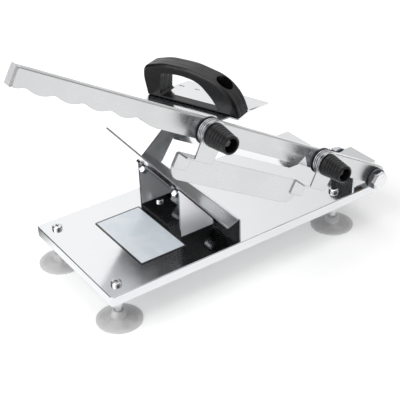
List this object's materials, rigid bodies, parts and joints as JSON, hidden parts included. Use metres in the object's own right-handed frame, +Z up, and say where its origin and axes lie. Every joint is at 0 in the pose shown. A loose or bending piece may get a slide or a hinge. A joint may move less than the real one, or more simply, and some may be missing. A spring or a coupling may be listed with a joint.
{
  "type": "hand lever slicer",
  "caption": "Bench slicer: hinged knife lever with an adjustable thickness gauge over a V trough with a sliding pusher, on a tray with suction feet.",
  "frame": {"origin": "on the bench plane, midway between the four suction feet", "axes": "+Z up, +X along the base towards the lever's hinge, +Y across the base away from the lever"},
  "size_m": [0.4144, 0.2064, 0.3041],
  "materials": {
    "polished_sheet": "stainless sheet, polished nearly to a mirror",
    "satin_sheet": "stainless sheet with a fine satin grain along its length",
    "ground_blade": "ground knife steel with a finer bevel",
    "bright_bolt": "bright plated",
    "bright_screw": "bright plated",
    "turned_steel": "turned",
    "zinc_nut": "zinc plated",
    "spring_wire": "drawn wire",
    "bearing_brass": "turned brass",
    "plate_panel": "pale coated panel with a dark border, bare",
    "cup_rubber": "cloudy grey soft rubber",
    "knob_plastic": "black moulded plastic",
    "handle_plastic": "black moulded plastic with a fine grain",
    "cap_plastic": "dark grey moulded plastic"
  },
  "bodies": {
    "base": {"base_plate": "polished_sheet", "suction_cup_near_left": "cup_rubber", "suction_cup_far_left": "cup_rubber", "suction_cup_near_right": "cup_rubber", "suction_cup_far_right": "cup_rubber", "foot_posts": "turned_steel", "foot_screws": "bright_screw", "name_plate": "plate_panel", "table_bracket": "polished_sheet", "bracket_screws": "bright_screw", "bracket_nuts": "zinc_nut", "feed_table": "polished_sheet", "table_screws": "bright_screw", "table_washers": "zinc_nut", "table_nuts": "zinc_nut", "hinge_bracket": "polished_sheet", "hinge_bracket_screws": "bright_screw", "hinge_bracket_nuts": "zinc_nut", "hinge_bolt": "bright_bolt", "hinge_washers": "bright_bolt", "hinge_spacer": "turned_steel", "hinge_sleeve": "turned_steel", "hinge_lock_nut": "zinc_nut"},
    "lever": {"lever_arm": "satin_sheet", "lever_bush": "bearing_brass", "lever_end_cap": "cap_plastic", "blade": "ground_blade", "blade_screws": "bright_screw", "blade_nuts": "zinc_nut", "gauge_studs": "turned_steel", "lever_rings": "bright_bolt", "gauge_spring_left": "spring_wire", "gauge_spring_right": "spring_wire"},
    "gauge": {"gauge_rings": "bright_bolt", "gauge_plate": "satin_sheet", "gauge_ear_left": "satin_sheet", "gauge_ear_right": "satin_sheet"},
    "knob_left": {"gauge_knob_left": "knob_plastic", "knob_insert_left": "bearing_brass"},
    "knob_right": {"gauge_knob_right": "knob_plastic", "knob_insert_right": "bearing_brass"},
    "pusher": {"pusher_plate": "polished_sheet", "pusher_handle": "handle_plastic", "handle_screws": "bright_screw"}
  },
  "joints": [
    {"name": "lever_hinge", "type": "hinge", "parent": "base", "child": "lever", "pos_m": [0.17125, -0.08125, 0.0615], "axis": [0, 1, 0], "range_deg": [-30, 40]},
    {"name": "gauge_slide", "type": "slide", "parent": "lever", "child": "gauge", "axis": [0, 1, 0], "range_m": [-0.004, 0.002], "deforming": ["gauge_spring_left", "gauge_spring_right"]},
    {"name": "knob_left_turn", "type": "hinge", "parent": "gauge", "child": "knob_left", "pos_m": [-0.04476, -0.1118, 0.19034], "axis": [0, 1, 0], "range_deg": [-1440.5, 720.5]},
    {"name": "knob_right_turn", "type": "hinge", "parent": "gauge", "child": "knob_right", "pos_m": [0.09439, -0.1118, 0.10936], "axis": [0, 1, 0], "range_deg": [-1440.5, 720.5]},
    {"name": "pusher_slide", "type": "slide", "parent": "base", "child": "pusher", "axis": [0, -1, 0], "range_m": [-0.005, 0.035]}
  ],
  "couplings": [
    {"joint": "knob_left_turn", "follows": "gauge_slide", "rad_per_m": 6283.2},
    {"joint": "knob_right_turn", "follows": "gauge_slide", "rad_per_m": 6283.2}
  ]
}
